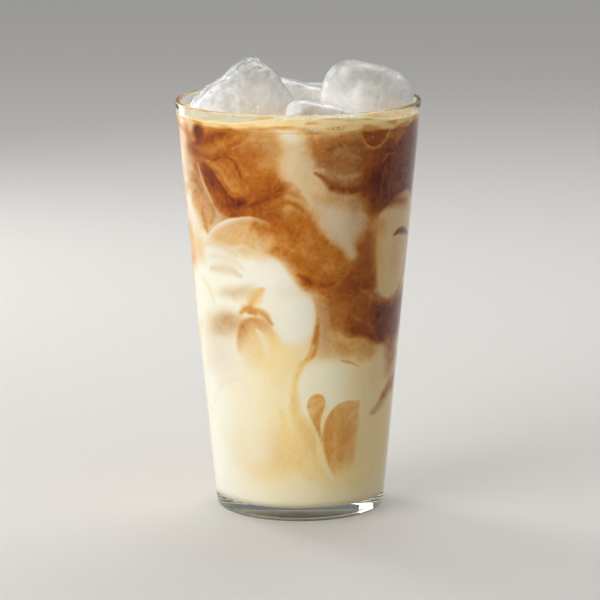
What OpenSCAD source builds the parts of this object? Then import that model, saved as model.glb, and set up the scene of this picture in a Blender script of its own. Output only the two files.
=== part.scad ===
// Iced latte in a plain conical tumbler, filled almost to the rim, with four
// half-melted ice cubes standing out of the drink. Millimetres, +Z up, origin
// at the centre of the foot.

/* [Glass] */
// Outer diameter at the rim
rim_d = 89; // [74:1:107]
// Outer diameter of the wall's line where it would meet the table
base_d = 61; // [51:1:73]
// Height of the glass
glass_h = 150; // [125:1:180]
// Wall thickness at the rim
wall_rim = 1.6; // [1.2:0.1:3]
// Wall thickness at the foot
wall_foot = 2.4; // [1.8:0.1:4]
// Thickness of the clear base, from the table to the drink
base_t = 5; // [4:0.1:9]
// Radius that rounds the foot's outer edge
heel_r = 2.5; // [1:0.1:3.5]
// Radius that rounds the corner inside, between wall and base
floor_r = 3; // [1:0.1:6]
// Width of the flat ring that the glass stands on
ring_w = 4; // [2:0.5:8]
// Height of the hollow under the base
punt_h = 1; // [0.5:0.1:1.8]

/* [Latte] */
// How far the drink's surface lies below the rim
fill_drop = 4.7; // [3:0.1:12]
// How far the drink climbs the wall at its edge
meniscus_h = 0.8; // [0.2:0.1:1.2]
// How far in from the wall that climb starts
meniscus_w = 2.4; // [1:0.1:4]

/* [Ice] */
// Least gap between the ice and the wall
ice_clear = 0.3; // [0.2:0.1:1]
// Radius, from the axis, that the four cubes reach at their usual size
ice_reach = 42; // [41.5:0.1:46]

/* [Hidden] */
$fn = 96;

arc_steps = 6;      // straight pieces in each rounded corner
lip_steps = 10;     // straight pieces round the lip
curve_steps = 8;    // straight pieces in the punt and the meniscus
ice_around = 32;    // points round each cube
ice_rings = 20;     // rings from pole to pole of each cube
head_room = 60;     // how far above the rim the space for ice is tested

lip_r = wall_rim / 2;
lip_z = glass_h - lip_r;
level = glass_h - fill_drop;

// Lean of the outer and inner wall, as radius gained for each unit of height.
outer_lean = (rim_d - base_d) / 2 / glass_h;
inner_lean = outer_lean + (wall_foot - wall_rim) / lip_z;

function outer_r(z) = base_d / 2 + outer_lean * z;
function inner_r(z) = base_d / 2 - wall_foot + inner_lean * z;

// Points on an arc round c, from angle a0 to a1.
function arc(c, r, a0, a1, steps) =
    [for (i = [0:steps]) let (a = a0 + (a1 - a0) * i / steps) c + r * [cos(a), sin(a)]];

// Centre of a circle of radius r that touches the level z0 from above and a
// wall that leans by lean and has radius wall_r at the circle's centre.
function corner(z0, r, wall_r, lean) = [wall_r - r * sqrt(1 + lean * lean), z0 + r];

heel_c = corner(0, heel_r, outer_r(heel_r), outer_lean);
punt_r = heel_c[0] - ring_w;

// The inside of the glass from the middle of the floor up to z_top, moved in
// from the wall and the floor by gap.
function cavity(z_top, gap = 0) =
    let (z0 = base_t + gap,
         c = corner(z0, floor_r, inner_r(z0 + floor_r) - gap, inner_lean))
    concat([[0, z0]],
           arc(c, floor_r, -90, -atan(inner_lean), arc_steps),
           [[inner_r(z_top) - gap, z_top]]);

function reversed(list) = [for (i = [len(list) - 1:-1:0]) list[i]];

module glass() {
    punt = [for (i = [0:curve_steps])
        [punt_r * i / curve_steps, punt_h * cos(90 * i / curve_steps)]];
    heel = arc(heel_c, heel_r, -90, -atan(outer_lean), arc_steps);
    lip = arc([outer_r(lip_z) - lip_r, lip_z], lip_r, 0, 180, lip_steps);
    inside = reversed(cavity(lip_z));
    color([0.86, 0.92, 0.91, 0.35])
        rotate_extrude()
            polygon(concat(punt, heel, lip, [for (i = [1:len(inside) - 1]) inside[i]]));
}

// The drink as poured: the cavity up to the level, with its edge drawn up the
// wall on a squared curve.
module poured() {
    edge_z = level + meniscus_h;
    in_r = inner_r(level) - meniscus_w;
    climb = [for (i = [curve_steps - 1:-1:0])
        let (t = i / curve_steps, z = level + meniscus_h * t * t)
        [in_r + (inner_r(edge_z) - in_r) * t, z]];
    rotate_extrude()
        polygon(concat(cavity(edge_z), climb, [[0, level]]));
}

module latte() {
    color([0.83, 0.66, 0.46])
        difference() {
            poured();
            for (cube = ICE) ice(cube);
        }
}

// Each cube of ice: centre, with its height over the drink's surface; half
// sizes; how square it is; turns about X, Y and Z; and where it has melted
// or swollen, as azimuth, elevation, share of the radius and spread.
LEFT = [[-18.8, 0, -0.5], [17, 14, 16.4], 3.6, [0, -37, 8],
        [[180, 58, -0.12, 24], [180, 0, 0.03, 20], [60, 70, 0.04, 16]]];
RIGHT = [[24.3, 2.5, 1.3], [14.6, 14.6, 15.8], 3.4, [0, 12, 40],
         [[200, 45, 0.02, 20], [0, 0, 0.02, 20], [0, 50, -0.05, 25], [150, 75, 0.03, 20]]];
BACK = [[-1.5, 26.2, -6.7], [14, 10.5, 14], 4, [-6, 14, 4],
        [[120, 70, 0.03, 20], [300, 60, -0.03, 25]]];
FRONT = [[6.2, -26, -6.7], [13.8, 10.5, 13.5], 3.8, [-6, 16, 0],
         [[250, 40, -0.04, 25], [30, 60, 0.03, 20]]];
ICE = [LEFT, RIGHT, BACK, FRONT];

// The cubes are sized so that their pile just fits the mouth at the surface.
ice_scale = (inner_r(level) - ice_clear) / ice_reach;

function turned(p, a) =
    let (y1 = p[1] * cos(a[0]) - p[2] * sin(a[0]), z1 = p[1] * sin(a[0]) + p[2] * cos(a[0]),
         x2 = p[0] * cos(a[1]) + z1 * sin(a[1]), z2 = z1 * cos(a[1]) - p[0] * sin(a[1]))
    [x2 * cos(a[2]) - y1 * sin(a[2]), x2 * sin(a[2]) + y1 * cos(a[2]), z2];

function total(list, i = 0) = i < len(list) ? list[i] + total(list, i + 1) : 0;

function heading(az, el) = [cos(el) * cos(az), cos(el) * sin(az), sin(el)];

// How much a cube's surface stands out or is melted back along direction d.
function melt(d, spots) =
    1 + total([for (s = spots)
        let (angle = acos(min(1, max(-1, d * heading(s[0], s[1])))))
        s[2] * exp(-pow(angle / s[3], 2))]);

// A point of a cube's surface, at longitude u and angle v from its top pole:
// a block whose corners are rounded by a power law, turned, then melted.
function ice_point(cube, u, v) =
    let (d = [sin(v) * cos(u), sin(v) * sin(u), cos(v)],
         half = cube[1], e = cube[2],
         r = pow(total([for (i = [0:2]) pow(abs(d[i]) / half[i], e)]), -1 / e),
         p = turned(d * r, cube[3]))
    ice_scale * (cube[0] + p * melt(p / norm(p), cube[4])) + [0, 0, level];

module ice_cube(cube) {
    rows = ice_rings - 2;
    ring_points = [for (i = [1:rows], j = [0:ice_around - 1])
        ice_point(cube, 360 * j / ice_around, 180 * i / (ice_rings - 1))];
    top = rows * ice_around;
    bottom = top + 1;
    top_cap = [for (j = [0:ice_around - 1]) [top, (j + 1) % ice_around, j]];
    sides = [for (i = [0:rows - 2], j = [0:ice_around - 1])
        let (a = i * ice_around + j, b = i * ice_around + (j + 1) % ice_around)
        each [[a, b, b + ice_around], [a, b + ice_around, a + ice_around]]];
    last = (rows - 1) * ice_around;
    bottom_cap = [for (j = [0:ice_around - 1]) [bottom, last + j, last + (j + 1) % ice_around]];
    polyhedron(points = concat(ring_points, [ice_point(cube, 0, 0), ice_point(cube, 0, 180)]),
               faces = concat(top_cap, sides, bottom_cap), convexity = 4);
}

// A cube kept clear of the glass: what would come nearer than ice_clear is
// flattened along the wall.
module ice(cube) {
    intersection() {
        ice_cube(cube);
        rotate_extrude() polygon(concat(cavity(glass_h + head_room, ice_clear),
                                        [[0, glass_h + head_room]]));
    }
}

module clear_ice(cube) color([0.88, 0.9, 0.92, 0.8]) ice(cube);

glass();
latte();
clear_ice(LEFT);  // ice_left
clear_ice(RIGHT);  // ice_right
clear_ice(BACK);  // ice_back
clear_ice(FRONT);  // ice_front
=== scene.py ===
# An iced latte: clear conical tumbler, milk and coffee half stirred, four ice cubes standing out of it
# and more of them sunk at the wall. Shapes are worked out in mm and put into the meshes in metres.
import math
import bpy
import mathutils
import numpy as np
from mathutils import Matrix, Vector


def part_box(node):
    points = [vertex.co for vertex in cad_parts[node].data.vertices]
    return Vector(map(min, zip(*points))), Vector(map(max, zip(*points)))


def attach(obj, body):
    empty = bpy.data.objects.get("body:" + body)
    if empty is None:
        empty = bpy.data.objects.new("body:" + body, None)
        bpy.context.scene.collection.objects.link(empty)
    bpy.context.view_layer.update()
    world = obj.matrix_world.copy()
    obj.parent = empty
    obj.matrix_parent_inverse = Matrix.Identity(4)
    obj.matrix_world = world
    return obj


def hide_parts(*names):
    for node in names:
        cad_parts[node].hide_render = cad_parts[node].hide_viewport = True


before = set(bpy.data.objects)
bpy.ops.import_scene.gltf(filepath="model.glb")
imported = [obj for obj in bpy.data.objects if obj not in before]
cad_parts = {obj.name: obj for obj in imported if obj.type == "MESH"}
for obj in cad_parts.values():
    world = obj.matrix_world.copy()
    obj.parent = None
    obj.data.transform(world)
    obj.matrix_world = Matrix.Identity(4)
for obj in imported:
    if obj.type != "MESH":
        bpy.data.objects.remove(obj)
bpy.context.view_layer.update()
mm = 0.001
scene = bpy.context.scene


def linear(hexColour):
    # sRGB hex to linear: c/12.92 below 0.04045, else ((c + 0.055)/1.055)^2.4
    parts = np.array([int(hexColour[i:i + 2], 16) / 255 for i in (1, 3, 5)])
    low = parts / 12.92
    high = ((parts + 0.055) / 1.055) ** 2.4
    return (*np.where(parts <= 0.04045, low, high).tolist(), 1.0)


def ease(low, high, value):
    # 0 below low, 1 above high, 3t^2 - 2t^3 between
    t = np.clip((value - low) / (high - low), 0, 1)
    return t * t * (3 - 2 * t)


def noise(points, size, seed):
    # gradient noise, about -1 to 1: a random slope at each corner of a cell of that size, and the eight
    # slopes' heights at the point blended by 6t^5 - 15t^4 + 10t^3
    draw = np.random.default_rng(seed)
    slopes = draw.normal(size=(256, 3))
    slopes /= np.linalg.norm(slopes, axis=1, keepdims=True)
    order = draw.permutation(256)
    scaled = points / size
    cell = np.floor(scaled).astype(int)
    t = scaled - cell
    blend = t ** 3 * (t * (6 * t - 15) + 10)
    total = np.zeros(points.shape[:-1])
    for corner in np.ndindex(2, 2, 2):
        at = cell + corner
        pick = order[(order[(order[at[..., 0] & 255] + at[..., 1]) & 255] + at[..., 2]) & 255]
        height = (slopes[pick] * (t - corner)).sum(-1)
        total += height * np.where(corner, blend, 1 - blend).prod(-1)
    return total * 1.7


def roughNoise(points, size, seed, octaves=3):
    # octaves of noise, each half the size and half the height of the last
    return sum(noise(points, size / 2 ** k, seed + k) / 2 ** k for k in range(octaves))


def onWall(az, radius, z):
    # az runs from the front, -Y, towards +X, in degrees
    a = np.radians(az)
    return np.stack([radius * np.sin(a), -radius * np.cos(a), z + 0 * a], -1)


def newMesh(name, points, faceSets, material, attributes=None):
    # each face set is an array of faces with the same number of corners
    corners = np.concatenate([f.ravel() for f in faceSets]).astype(np.int32)
    sizes = np.concatenate([np.full(len(f), f.shape[1]) for f in faceSets])
    starts = np.concatenate([[0], np.cumsum(sizes)[:-1]]).astype(np.int32)
    mesh = bpy.data.meshes.new(name)
    mesh.vertices.add(len(points))
    mesh.vertices.foreach_set("co", (points * mm).astype(np.float32).ravel())
    mesh.loops.add(len(corners))
    mesh.loops.foreach_set("vertex_index", corners)
    mesh.polygons.add(len(sizes))
    mesh.polygons.foreach_set("loop_start", starts)
    mesh.polygons.foreach_set("use_smooth", np.ones(len(sizes), bool))
    mesh.update(calc_edges=True)
    for key, values in (attributes or {}).items():
        layer = mesh.attributes.new(key, "FLOAT", "POINT")
        layer.data.foreach_set("value", values.astype(np.float32).ravel())
    mesh.materials.append(material)
    piece = bpy.data.objects.new(name, mesh)
    scene.collection.objects.link(piece)
    return piece


def ringFaces(count, around):
    # quads between each ring and the next, and a fan to a pole at either end; rings run anticlockwise
    # and from the lower outside to the upper, so that faces look out. The poles are the last two points.
    i, j = np.meshgrid(np.arange(count - 1), np.arange(around), indexing="ij")
    nextJ = (j + 1) % around
    quads = np.stack([i * around + j, i * around + nextJ, (i + 1) * around + nextJ,
                      (i + 1) * around + j], -1).reshape(-1, 4)
    k = np.arange(around)
    nextK = (k + 1) % around
    first = np.full(around, count * around)
    last = (count - 1) * around
    startFan = np.stack([first, nextK, k], -1)
    endFan = np.stack([first + 1, last + k, last + nextK], -1)
    return [quads, np.concatenate([startFan, endFan])]


def ringPoints(rings, start, end):
    # one list: ring after ring, then the lower pole and the upper
    return np.concatenate([rings.reshape(-1, 3), [start], [end]])


def addNode(tree, kind, settings=None, links=None):
    # settings: socket name or node property to value. links: input name to (node, output name)
    node = tree.nodes.new(kind)
    for key, value in (settings or {}).items():
        if isinstance(key, int) or key in node.inputs:
            node.inputs[key].default_value = value
        else:
            setattr(node, key, value)
    for key, (source, output) in (links or {}).items():
        tree.links.new(source.outputs[output], node.inputs[key])
    return node


def newMaterial(name):
    # a material whose node tree is still empty
    material = bpy.data.materials.new(name)
    material.use_nodes = True
    material.node_tree.nodes.clear()
    return material, material.node_tree


def ramp(tree, stops, source):
    # stops: position to hex colour
    node = addNode(tree, "ShaderNodeValToRGB", links={"Fac": source})
    band = node.color_ramp
    while len(band.elements) < len(stops):
        band.elements.new(0.5)
    for element, (place, colour) in zip(band.elements, stops.items()):
        element.position = place
        element.color = linear(colour)
    return node


def clearToLamps(tree, shader, share):
    # lamp light passes straight through instead of being stopped, as in a real clear thing
    path = addNode(tree, "ShaderNodeLightPath")
    part = addNode(tree, "ShaderNodeMath", {"operation": "MULTIPLY", 1: share},
                   {0: (path, "Is Shadow Ray")})
    clear = addNode(tree, "ShaderNodeBsdfTransparent")
    mix = addNode(tree, "ShaderNodeMixShader", links={0: (part, 0), 1: (shader, 0), 2: (clear, 0)})
    addNode(tree, "ShaderNodeOutputMaterial", links={"Surface": (mix, 0)})


tumbler = dict(
    footR=30.5, wallRim=1.6, wallFoot=2.4, baseThick=5.0,
    heelRound=2.5, floorRound=3.0, ringWide=4.0, puntHigh=1.0,
    around=240, wallRows=40, roundRows=10,
)
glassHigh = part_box("glass")[1]
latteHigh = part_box("latte")[1]
glassTall = glassHigh.z / mm
lipR = tumbler["wallRim"] / 2
lipZ = glassTall - lipR
outerLean = (glassHigh.x / mm - tumbler["footR"]) / lipZ
innerLean = outerLean + (tumbler["wallFoot"] - tumbler["wallRim"]) / lipZ


def outerR(z):
    # the glass's outside: foot radius + lean z
    return tumbler["footR"] + outerLean * z


def innerR(z):
    # the cavity: foot radius less the wall there + its own lean z
    return tumbler["footR"] - tumbler["wallFoot"] + innerLean * z


def arc(centre, radius, fromDeg, toDeg, rows):
    # centre + radius (cos a, sin a), a going evenly from one angle to the other
    a = np.radians(np.linspace(fromDeg, toDeg, rows))
    return np.stack([centre[0] + radius * np.cos(a), centre[1] + radius * np.sin(a)], -1)


def line(start, end, rows):
    # the points between two ends, without them
    t = np.linspace(0, 1, rows + 2)[1:-1, None]
    return np.array(start) * (1 - t) + np.array(end) * t


def cornerCentre(z0, radius, wallR, lean):
    # centre of a circle that touches the level z0 from above and a wall that leans
    return wallR - radius * math.sqrt(1 + lean * lean), z0 + radius


def glassMaterial():
    # soda-lime glass, pressed and fire polished: clean, with sharp reflections and a cool edge
    material, tree = newMaterial("sodaLimeGlass")
    place = addNode(tree, "ShaderNodeTexCoord")
    slow = addNode(tree, "ShaderNodeTexNoise", {"Scale": 1 / (22 * mm), "Detail": 1.0},
                   {"Vector": (place, "Object")})
    wave = addNode(tree, "ShaderNodeBump", {"Strength": 0.06, "Distance": 1.2 * mm},
                   {"Height": (slow, "Fac")})
    body = addNode(tree, "ShaderNodeBsdfPrincipled",
                   {"Base Color": linear("#F7FBF9"), "Roughness": 0.0, "IOR": 1.5,
                    "Transmission Weight": 1.0, "Specular Tint": linear("#9A9A9A")},
                   {"Normal": (wave, 0)})
    clearToLamps(tree, body, 0.94)
    return material


def makeGlass():
    # profile turned round the axis: punt z = h cos(90 r/R), heel arc, leaning wall, half-round lip, and
    # back down the inner wall to the floor
    t = tumbler
    heel = cornerCentre(0, t["heelRound"], outerR(t["heelRound"]), outerLean)
    puntR = heel[0] - t["ringWide"]
    s = np.linspace(0, 1, t["roundRows"] + 1)[1:]
    punt = np.stack([puntR * s, t["puntHigh"] * np.cos(np.pi / 2 * s)], -1)
    heelArc = arc(heel, t["heelRound"], -90, -math.degrees(math.atan(outerLean)), t["roundRows"])
    lip = arc((outerR(lipZ) - lipR, lipZ), lipR, 0, 180, 2 * t["roundRows"])
    floorZ = t["baseThick"]
    bend = cornerCentre(floorZ, t["floorRound"], innerR(floorZ + t["floorRound"]), innerLean)
    floorArc = arc(bend, t["floorRound"], -math.degrees(math.atan(innerLean)), -90, t["roundRows"])
    floor = line((bend[0], floorZ), (0, floorZ), 6)
    profile = np.concatenate([punt, line(punt[-1], heelArc[0], 2), heelArc,
                              line(heelArc[-1], lip[0], t["wallRows"]), lip,
                              line(lip[-1], floorArc[0], t["wallRows"]), floorArc, floor])
    az = np.arange(t["around"]) * 360 / t["around"]
    rings = onWall(az[None, :], profile[:, :1], profile[:, 1:])
    points = ringPoints(rings, (0, 0, t["puntHigh"]), (0, 0, floorZ))
    piece = newMesh("tumbler", points, ringFaces(len(profile), t["around"]), glassMaterial())
    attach(piece, "root")
    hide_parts("glass")
    print("glass", len(points))


level = latteHigh.z / mm - 0.8      # the drink's surface; its edge climbs 0.8 mm up the wall
mouthR = innerR(level)
pile = (mouthR - 0.3) / 42          # the cubes' pile just fits the mouth

# centre over the drink's surface, half sizes, squareness, turns about X Y Z, and where the cube has
# melted or swollen: azimuth, elevation, share of the radius, spread in degrees
iceCubes = dict(
    ice_left=dict(centre=(-18.8, 0, -0.5), half=(17, 14, 16.4), square=3.6, turn=(0, -37, 8),
                  melt=((180, 58, -0.12, 24), (180, 0, 0.03, 20), (60, 70, 0.04, 16), (229, 53, -0.05, 4),
                        (250, 18, -0.04, 4), (241, 24, 0.02, 3), (257, 25, -0.03, 3)), seed=11, tan=0.2),
    ice_right=dict(centre=(24.3, 2.5, 1.3), half=(14.6, 14.6, 15.8), square=3.4, turn=(0, 12, 40),
                   melt=((200, 45, 0.02, 20), (0, 0, 0.02, 20), (0, 50, -0.05, 25), (150, 75, 0.03, 20),
                         (280, 35, 0.025, 3), (291, 31, 0.03, 3), (222, 38, -0.03, 3)), seed=12, tan=0.06),
    ice_back=dict(centre=(-1.5, 26.2, -6.7), half=(14, 10.5, 14), square=4, turn=(-6, 14, 4),
                  melt=((120, 70, 0.03, 20), (300, 60, -0.03, 25)), seed=13, tan=0.15),
    ice_front=dict(centre=(6.2, -26, -6.7), half=(13.8, 10.5, 13.5), square=3.8, turn=(-6, 16, 0),
                   melt=((250, 40, -0.04, 25), (30, 60, 0.03, 20)), seed=14, tan=1.0),
)
iceMesh = dict(around=224, rows=150, wallGap=0.3)       # wallGap: mm kept clear of the glass
# cubes that lie under the surface with a face against the glass: azimuth, height, depth of the centre
# inside the wall, half sizes along the wall, up and inwards, squareness, turn in the wall's plane
sunkCubes = dict(
    sunk_low=dict(az=24, z=28.5, deep=7.0, half=(9.6, 16.0, 9.0), square=5.0, turn=-3, seed=21),
    sunk_right=dict(az=66, z=99.0, deep=8.0, half=(17, 19.5, 10), square=3.6, turn=8, seed=22),
    sunk_chip=dict(az=39.5, z=139.9, deep=3.0, half=(6.2, 3.1, 5.0), square=2.4, turn=0, seed=23),
    sunk_back=dict(az=152, z=112.0, deep=7.5, half=(15, 13, 9), square=4.0, turn=12, seed=24),
    sunk_left=dict(az=232, z=84.0, deep=7.0, half=(12, 15, 9), square=3.8, turn=-14, seed=25),
)

sunkMesh = dict(around=120, rows=90, intoWall=0.17)     # intoWall: mm that the face reaches into the glass


def turnMatrix(turn):
    # Rz Ry Rx
    x, y, z = np.radians(turn)
    aboutX = np.array([[1, 0, 0], [0, np.cos(x), -np.sin(x)], [0, np.sin(x), np.cos(x)]])
    aboutY = np.array([[np.cos(y), 0, np.sin(y)], [0, 1, 0], [-np.sin(y), 0, np.cos(y)]])
    aboutZ = np.array([[np.cos(z), -np.sin(z), 0], [np.sin(z), np.cos(z), 0], [0, 0, 1]])
    return aboutZ @ aboutY @ aboutX


def meltOf(directions, spots):
    # 1 + the sum of share exp(-(angle to the spot / spread)^2)
    factor = np.ones(directions.shape[:-1])
    for az, el, share, spread in spots:
        a, e = math.radians(az), math.radians(el)
        spot = np.array([math.cos(e) * math.cos(a), math.cos(e) * math.sin(a), math.sin(e)])
        angle = np.degrees(np.arccos(np.clip(directions @ spot, -1, 1)))
        factor += share * np.exp(-(angle / spread) ** 2)
    return factor


def sphereDirections(around, rows):
    # longitude by angle from the lower pole, without the poles
    u = np.radians(np.arange(around) * 360 / around)[None, :]
    v = np.pi - np.radians(np.linspace(0, 180, rows + 2)[1:-1])[:, None]
    return np.stack([np.sin(v) * np.cos(u), np.sin(v) * np.sin(u), np.cos(v) + 0 * u], -1)


poles = np.array([[[0, 0, -1.0]], [[0, 0, 1.0]]])


def roundedBlock(directions, half, square):
    # |x/a|^e + |y/b|^e + |z/c|^e = 1 along each direction
    share = (np.abs(directions / np.array(half)) ** square).sum(-1, keepdims=True)
    return directions * share ** (-1 / square)


def insideBlock(points, centre, half, square, matrix):
    # under 1 inside the block, 1 on its surface
    local = (points - centre) @ matrix
    return (np.abs(local / np.array(half)) ** square).sum(-1) ** (1 / square)


def iceRelief(points, seed):
    # melted ice: slow waves of 9 mm, dimples of 3 mm, and fine pits where the noise is lowest
    waves = 0.42 * noise(points, 9.5, seed)
    dimples = 0.20 * noise(points, 3.6, seed + 1) + 0.12 * noise(points, 1.6, seed + 2)
    pits = -0.5 * ease(0.42, 0.72, noise(points, 2.6, seed + 3))
    return waves + dimples + pits


def keepInside(points, gap):
    # pulls in, towards the axis, what would come nearer to the wall than gap
    far = np.hypot(points[..., 0], points[..., 1])
    limit = innerR(points[..., 2]) - gap
    pull = np.where(far > limit, limit / np.maximum(far, 1e-6), 1.0)
    out = points.copy()
    out[..., :2] *= pull[..., None]
    return out


def iceMaterial():
    # ice, frozen quickly and then melted: frosted by trapped air, wet outside. The air is finer than this
    # in real ice and is drawn 0.6 mm coarse so that it shows. Attribute "paintedLightAndMottle": painted
    # light, bright low down where the milk would light it, and painted shade, greyer, above, with random
    # mottle.
    # Attribute "tan": drink that clings to it
    material, tree = newMaterial("meltingIce")
    place = addNode(tree, "ShaderNodeTexCoord")
    paintedLightAndMottle = addNode(tree, "ShaderNodeAttribute", {"attribute_name": "paintedLightAndMottle"})
    tan = addNode(tree, "ShaderNodeAttribute", {"attribute_name": "tan"})
    cloud = addNode(tree, "ShaderNodeTexNoise", {"Scale": 1 / (8 * mm), "Detail": 5.0, "Distortion": 0.5},
                    {"Vector": (place, "Object")})
    uneven = addNode(tree, "ShaderNodeMapRange",
                     {"From Min": 0.3, "From Max": 0.7, "To Min": -0.16, "To Max": 0.16},
                     {"Value": (cloud, "Fac")})
    tone = addNode(tree, "ShaderNodeMath", {"operation": "ADD"}, {0: (paintedLightAndMottle, "Fac"), 1: (uneven, 0)})
    # painted light and shade: the ramp turns the painted light, with the clouds, into grey above and white
    # low down
    frostAndPaintedLight = ramp(tree, {0.0: "#8F9499", 0.4: "#D2D5D7", 0.7: "#F8F8F7", 1.0: "#FFFFFF"}, (tone, 0))
    stained = addNode(tree, "ShaderNodeMix", {"data_type": "RGBA", "blend_type": "MULTIPLY",
                      7: linear("#B79A7C")},
                      {0: (tan, "Fac"), 6: (frostAndPaintedLight, "Color")})
    grain = addNode(tree, "ShaderNodeTexNoise", {"Scale": 1 / (0.6 * mm), "Detail": 3.0, "Roughness": 0.6},
                    {"Vector": (place, "Object")})
    specks = ramp(tree, {0.36: "#9A9896", 0.6: "#FFFFFF"}, (grain, "Fac"))
    colour = addNode(tree, "ShaderNodeMix", {"data_type": "RGBA", "blend_type": "MULTIPLY", 0: 0.2},
                     {6: (stained, 2), 7: (specks, "Color")})
    see = addNode(tree, "ShaderNodeMapRange",
                  {"From Min": 0.2, "From Max": 0.9, "To Min": 0.85, "To Max": 0.1}, {"Value": (tone, 0)})
    bump = addNode(tree, "ShaderNodeBump", {"Strength": 0.6, "Distance": 0.3 * mm},
                   {"Height": (grain, "Fac")})
    body = addNode(tree, "ShaderNodeBsdfPrincipled",
                   {"Roughness": 0.16, "IOR": 1.31, "Subsurface Weight": 0.8,
                    "Subsurface Radius": (1.0, 1.0, 1.0), "Subsurface Scale": 1.5 * mm,
                    "Coat Weight": 1.0, "Coat Roughness": 0.05, "Coat IOR": 1.4,
                    "Sheen Weight": 0.9, "Sheen Roughness": 0.25},
                   {"Base Color": (colour, 2), "Transmission Weight": (see, 0), "Normal": (bump, 0),
                    "Coat Normal": (bump, 0)})
    clearToLamps(tree, body, 0.5)
    return material


def cubeFrame(cube):
    # centre, half sizes and turn of a standing cube in the glass
    centre = pile * np.array(cube["centre"]) + (0, 0, level)
    return centre, pile * np.array(cube["half"]), turnMatrix(cube["turn"])


def sunkFrame(cube):
    # a sunk cube's own axes: along the wall, inwards, and up, leaning as the wall does
    a = math.radians(cube["az"])
    tilt = math.degrees(math.atan(innerLean))
    matrix = turnMatrix((0, 0, cube["az"])) @ turnMatrix((tilt, 0, 0)) @ turnMatrix((0, cube["turn"], 0))
    r = innerR(cube["z"]) - cube["deep"]
    centre = np.array([r * math.sin(a), -r * math.cos(a), cube["z"]])
    wide, tall, thick = cube["half"]
    return centre, np.array([wide, thick, tall]), matrix


def makeIce():
    # a point is the rounded block's, turned, times its melt, plus the relief outwards. The painted light
    # falls by 0.042 for each mm over the drink, so the tops are painted greyer, and what clings there ends
    # by 9 mm
    material = iceMaterial()
    around, rows = iceMesh["around"], iceMesh["rows"]
    directions = sphereDirections(around, rows)
    for name, cube in iceCubes.items():
        centre, half, matrix = cubeFrame(cube)

        def place(d):
            turned = roundedBlock(d, half, cube["square"]) @ matrix.T
            out = turned / np.linalg.norm(turned, axis=-1, keepdims=True)
            body = turned * meltOf(out, cube["melt"])[..., None]
            body = body + out * iceRelief(body, cube["seed"])[..., None]
            return keepInside(body + centre, iceMesh["wallGap"])

        ends = place(poles)
        points = ringPoints(place(directions), ends[0, 0], ends[1, 0])
        height = points[:, 2] - level
        # painted light: whiter low down, near the milk, and painted shade, greyer, higher up; the noise is
        # random mottle
        paintedLightAndMottle = 1.1 - 0.042 * height + 0.12 * noise(points, 11, cube["seed"] + 5)
        tan = cube["tan"] * ease(9, 1, height) * ease(-0.5, 0.4, noise(points, 5, cube["seed"] + 6))
        values = {"paintedLightAndMottle": paintedLightAndMottle, "tan": tan}
        piece = newMesh(name + "_melted", points, ringFaces(rows, around), material, values)
        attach(piece, "root")
        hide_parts(name)
    print("standing ice", len(iceCubes))


drink = dict(
    intoWall=0.15,          # how far the drink reaches into the glass, so that no air shows
    capThick=1.9,           # the golden top layer, a piece of its own
    partZ=76.0,             # where the milk's piece meets the coffee's
    columns=440, lowRows=200, highRows=195, floorRows=6, cornerRows=6,
    frontCrowding=20,       # degrees by which columns crowd towards the front
)


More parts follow.
